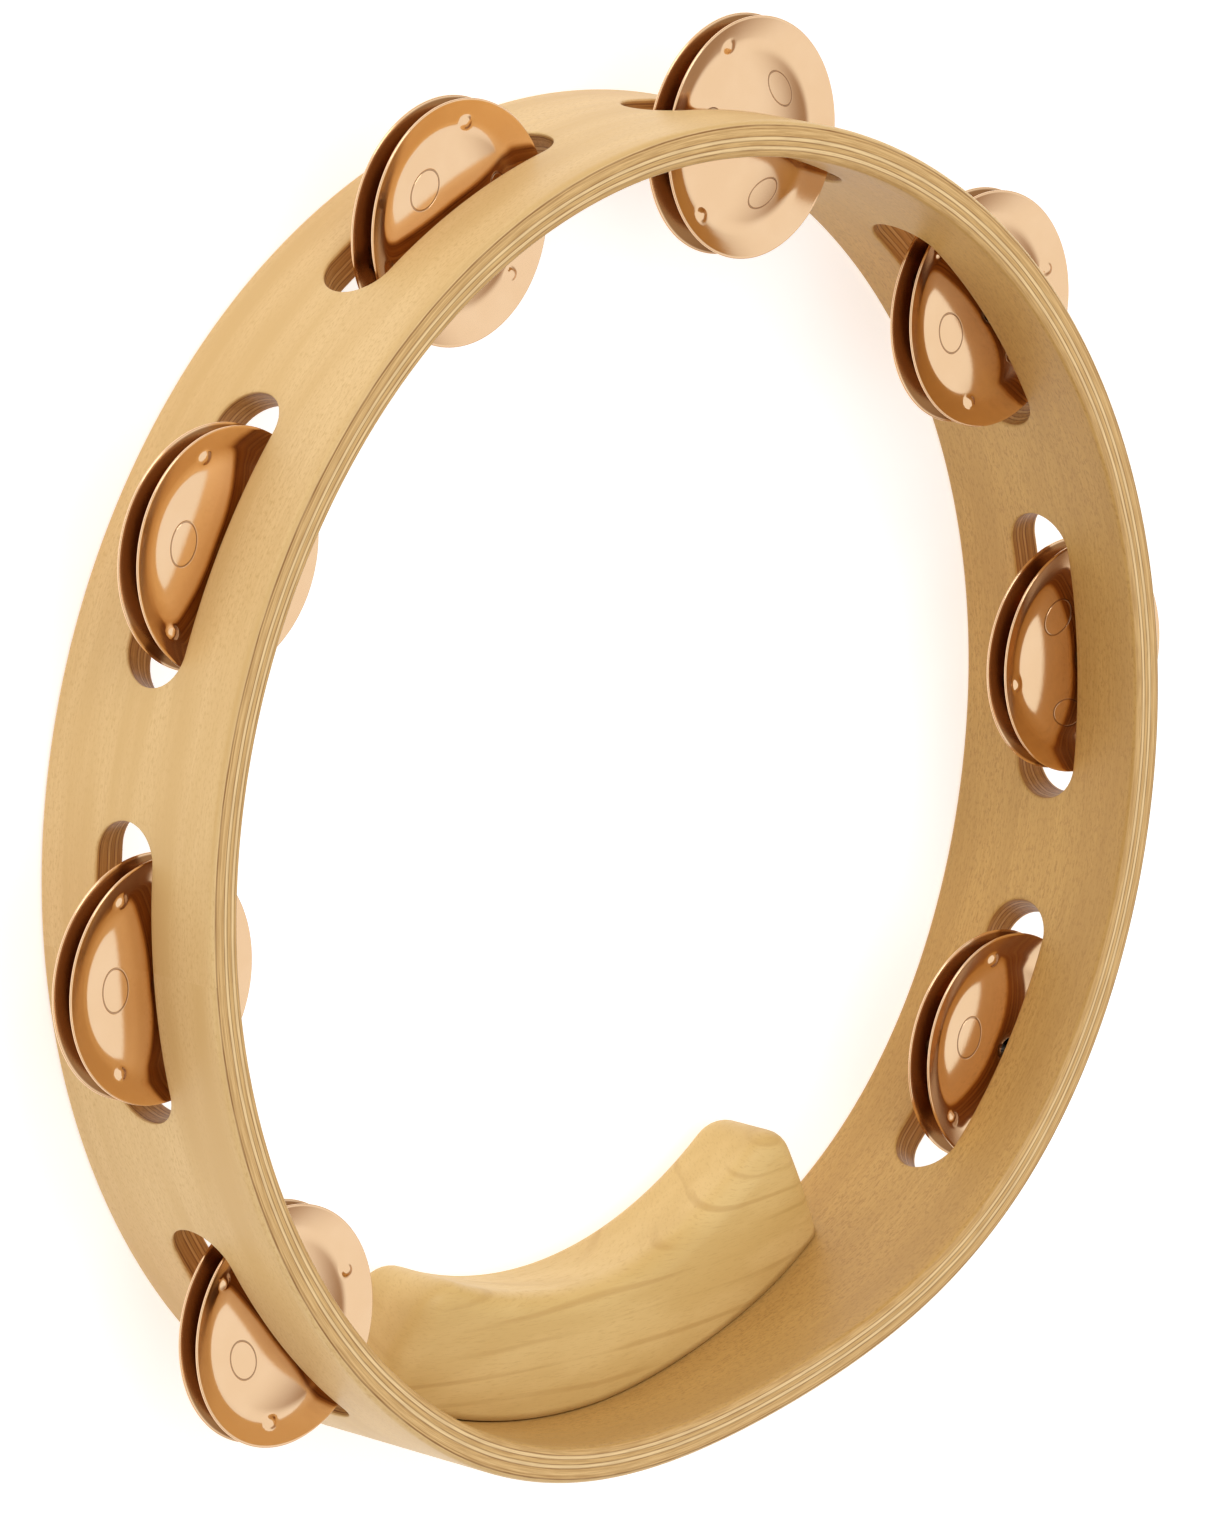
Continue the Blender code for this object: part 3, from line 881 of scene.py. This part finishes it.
def grip_levels():
    """The grip's slices from back to front.

    Each is (inset, height above the back, depth below the front), with None for the height or
    depth that doesn't count.
    """
    levels = []
    for step in range(GRIP_ROUND_STEPS + 1):
        turn = pi / 2 * step / GRIP_ROUND_STEPS
        levels.append((GRIP_BACK_ROUND * (1 - sin(turn)), GRIP_BACK_ROUND * (1 - cos(turn)), None))
    for step in range(GRIP_ROUND_STEPS + 1):
        turn = pi / 2 * step / GRIP_ROUND_STEPS
        levels.append((GRIP_FRONT_ROUND * (1 - cos(turn)), None,
                       GRIP_FRONT_ROUND * (1 - sin(turn))))
    return levels


def make_grip(material):
    """The grip's block: slices from back to front, and a grid of faces on its back and front."""
    bm = bmesh.new()
    rings, grids = [], []
    for inset, above, below in grip_levels():
        foot, palm = grip_slice(inset)
        grid = []
        for step in range(GRIP_ROWS + 1):
            row = [f.lerp(p, step / GRIP_ROWS) for f, p in zip(foot, palm)]
            grid.append([(p.x, p.y + HOOP_AXIS_Y,
                          GRIP_BACK_Z + above if below is None else grip_front_z(p) - below)
                         for p in row])
        rim = [(0, k) for k in range(len(foot))]
        rim += [(j, len(foot) - 1) for j in range(1, GRIP_ROWS + 1)]
        rim += [(GRIP_ROWS, k) for k in range(len(foot) - 2, -1, -1)]
        rim += [(j, 0) for j in range(GRIP_ROWS - 1, 0, -1)]
        rings.append({place: bm.verts.new(grid[place[0]][place[1]]) for place in rim})
        grids.append(grid)
    for low, high in zip(rings, rings[1:]):
        for one, two in zip(rim, rim[1:] + rim[:1]):
            bm.faces.new((low[one], low[two], high[two], high[one]))
    for ring, grid in ((rings[0], grids[0]), (rings[-1], grids[-1])):
        for j in range(GRIP_ROWS + 1):
            for k in range(len(grid[j])):
                if (j, k) not in ring:
                    ring[j, k] = bm.verts.new(grid[j][k])
        for j in range(GRIP_ROWS):
            for k in range(len(grid[j]) - 1):
                bm.faces.new((ring[j, k], ring[j, k + 1], ring[j + 1, k + 1], ring[j + 1, k]))
    return make_object("grip_block", bm, material)


# ---------------------------------------------------------------- stage
def add_area(name, place, size, power):
    """White soft light at place, aimed at the hoop's middle."""
    light = bpy.data.lights.new(name, "AREA")
    light.shape = "RECTANGLE"
    light.size, light.size_y = size
    light.energy = power
    obj = bpy.data.objects.new(name, light)
    aim = (-Vector(place)).to_track_quat("-Z", "Y").to_matrix().to_4x4()
    obj.matrix_world = Matrix.Translation(place) @ aim
    bpy.context.scene.collection.objects.link(obj)


def make_stage():
    """Pale floor just under the hoop."""
    bm = bmesh.new()
    bmesh.ops.create_grid(bm, x_segments=1, y_segments=1, size=FLOOR_HALF)
    for vert in bm.verts:
        vert.co.z = -FLOOR_DROP
    n = Nodes("studio_floor")
    floor = make_object("studio_floor", bm, n.finish(
        (0.75, 0.75, 0.75, 1), 0.9, Specular_IOR_Level=0.1,
        Emission_Color=(1, 1, 1, 1), Emission_Strength=FLOOR_GLOW))


def make_air():
    """Soft light from a room, white overhead and dim and warm towards its walls."""
    world = bpy.data.worlds.new("studio_air")
    bpy.context.scene.world = world
    world.use_nodes = True
    tree = world.node_tree
    place = tree.nodes.new("ShaderNodeTexCoord").outputs["Generated"]
    split = tree.nodes.new("ShaderNodeSeparateXYZ")
    tree.links.new(place, split.inputs[0])
    rise = tree.nodes.new("ShaderNodeMapRange")
    rise.interpolation_type = "SMOOTHSTEP"
    tree.links.new(split.outputs[2], rise.inputs[0])
    rise.inputs[1].default_value = sin(radians(AIR_LOW_DEG))
    rise.inputs[2].default_value = sin(radians(AIR_HIGH_DEG))
    shade = tree.nodes.new("ShaderNodeMix")
    shade.data_type = "RGBA"
    tree.links.new(rise.outputs[0], shade.inputs[0])
    shade.inputs[6].default_value = rgba(AIR_LOW)
    shade.inputs[7].default_value = rgba(AIR_HIGH)
    background = tree.nodes["Background"]
    background.inputs["Strength"].default_value = 1.0
    tree.links.new(shade.outputs[2], background.inputs["Color"])


def make_camera():
    """Long lens, looking down at the lying hoop from above its left side."""
    data = bpy.data.cameras.new("photo_camera")
    data.lens = CAMERA_LENS
    data.sensor_width = CAMERA_SENSOR
    data.sensor_fit = "AUTO"
    data.shift_x, data.shift_y = CAMERA_SHIFT
    camera = bpy.data.objects.new("photo_camera", data)
    right = Vector(CAMERA_RIGHT).normalized()
    up = Vector(CAMERA_UP)
    up = (up - right * up.dot(right)).normalized()
    back = right.cross(up)
    turn = Matrix((right, up, back)).transposed().to_4x4()
    camera.matrix_world = Matrix.Translation(CAMERA_PLACE) @ turn
    bpy.context.scene.collection.objects.link(camera)
    bpy.context.scene.camera = camera


# ---------------------------------------------------------------- assembly
def main():
    """The whole scene, with every piece tied to its node, slot and body."""
    bpy.context.scene.view_settings.view_transform = "Standard"
    make_camera()
    make_stage()
    make_air()
    add_area("softbox_key", KEY_PLACE, KEY_SIZE, KEY_POWER)
    hoop = make_hoop(ply_material())
    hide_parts("hoop_shell")
    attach(hoop, "hoop")
    grip = make_grip(maple_material())
    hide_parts("hand_grip")
    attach(grip, "hoop")
    steel = steel_material()
    bronze = bronze_material()
    for number, angle in enumerate(SLOT_ANGLES, 1):
        pin = make_pin(number, angle, steel)
        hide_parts(f"pin_{number}")
        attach(pin, "hoop")
        make_pair(number, angle, bronze)


main()
